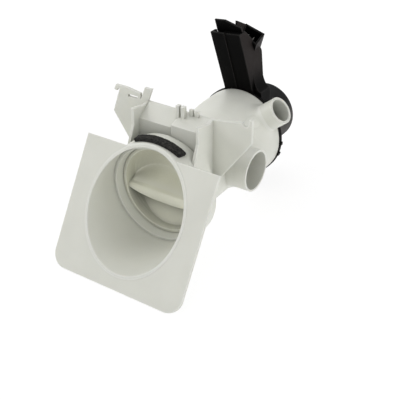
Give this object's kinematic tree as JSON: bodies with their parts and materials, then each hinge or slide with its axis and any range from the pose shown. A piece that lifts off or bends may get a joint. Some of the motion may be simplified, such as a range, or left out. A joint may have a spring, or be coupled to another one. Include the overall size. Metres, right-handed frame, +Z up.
{
  "type": "washer drain pump",
  "caption": "Washing machine drain pump: a slanted front flange and spout round a screw-in filter, side spigots for the hoses, and a motor behind with a connector tower.",
  "frame": {"origin": "where the axis of the filter and motor crosses the front face of the flange", "axes": "+Y along that axis from the filter to the motor, +Z up, +X to the side of the spigots"},
  "size_m": [0.124, 0.2297, 0.1514],
  "materials": {
    "housing_white": "moulded satin",
    "filter_white": "moulded satin",
    "foam_black": "open-cell foam",
    "seal_rubber": "smooth",
    "motor_black": "moulded satin",
    "cover_grey": "moulded matt",
    "bearing_graphite": "sintered",
    "magnet_ferrite": "ground",
    "steel": "pressed",
    "contact_metal": "tinned",
    "bobbin_plastic": "moulded",
    "copper_wire": "enamelled",
    "nylon": "moulded satin"
  },
  "bodies": {
    "housing": {"front_spout": "housing_white", "filter_chamber": "housing_white", "volute_casing": "housing_white", "support_bracket": "housing_white", "foam_strip": "foam_black", "motor_plate": "motor_black", "rotor_can": "motor_black", "plate_seal": "seal_rubber", "bearing_carrier": "motor_black", "front_bearing": "bearing_graphite", "rear_bearing": "bearing_graphite", "rear_bearing_mount": "seal_rubber", "pole_cup_front": "steel", "pole_cup_rear": "steel", "coil_bobbin": "bobbin_plastic", "coil_winding": "copper_wire", "terminal_strips": "contact_metal", "motor_cover": "cover_grey", "connector_tower": "motor_black"},
    "filter_ring": {"filter_seal": "seal_rubber"},
    "filter": {"filter_cap": "filter_white", "filter_basket": "filter_white"},
    "rotor": {"rotor_shaft": "steel", "magnet_core": "nylon", "rotor_magnet": "magnet_ferrite", "thrust_washer": "nylon", "drive_dog": "nylon"},
    "impeller": {"impeller": "nylon"}
  },
  "joints": [
    {"name": "filter_pull", "type": "slide", "parent": "housing", "child": "filter_ring", "axis": [0, -1, 0], "range_m": [0, 0.14]},
    {"name": "filter_turn", "type": "hinge", "parent": "filter_ring", "child": "filter", "pos_m": [0, 0.04, 0], "axis": [0, -1, 0], "range_deg": [0, 120]},
    {"name": "rotor_spin", "type": "hinge", "parent": "housing", "child": "rotor", "pos_m": [0, 0.17, 0], "axis": [0, 1, 0], "continuous": true},
    {"name": "impeller_slip", "type": "hinge", "parent": "rotor", "child": "impeller", "pos_m": [0, 0.14, 0], "axis": [0, 1, 0], "range_deg": [0, 250]}
  ]
}
